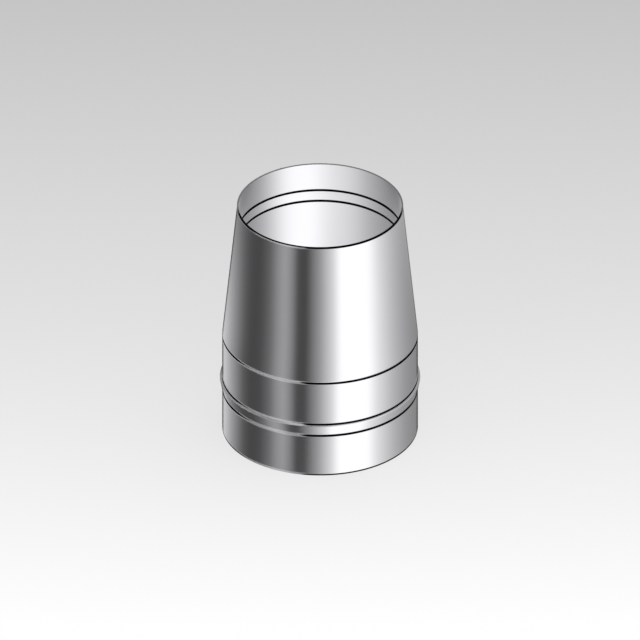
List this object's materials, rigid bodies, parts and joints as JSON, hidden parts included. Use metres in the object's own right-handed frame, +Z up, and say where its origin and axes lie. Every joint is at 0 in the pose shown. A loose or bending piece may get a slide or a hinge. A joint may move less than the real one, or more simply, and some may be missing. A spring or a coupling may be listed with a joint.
{
  "type": "flue terminal cap",
  "caption": "Tapered twin-wall flue terminal in stainless sheet: a jacket tube with a stop bead, a cone closing onto the rim, and a straight flue pipe inside, open right through.",
  "frame": {"origin": "centre of the foot, on the plane that the terminal stands on", "axes": "+Z up along the flue's axis, from the foot to the open rim; X and Y are free, because the terminal is round"},
  "size_m": [0.1538, 0.1538, 0.196],
  "materials": {
    "jacket": "bright stainless sheet with a fine rolled grain",
    "cone": "bright stainless sheet with a fine rolled grain",
    "inner_pipe": "bright stainless sheet with a fine rolled grain"
  },
  "bodies": {
    "root": {"jacket": "jacket", "cone": "cone", "inner_pipe": "inner_pipe"}
  },
  "joints": []
}
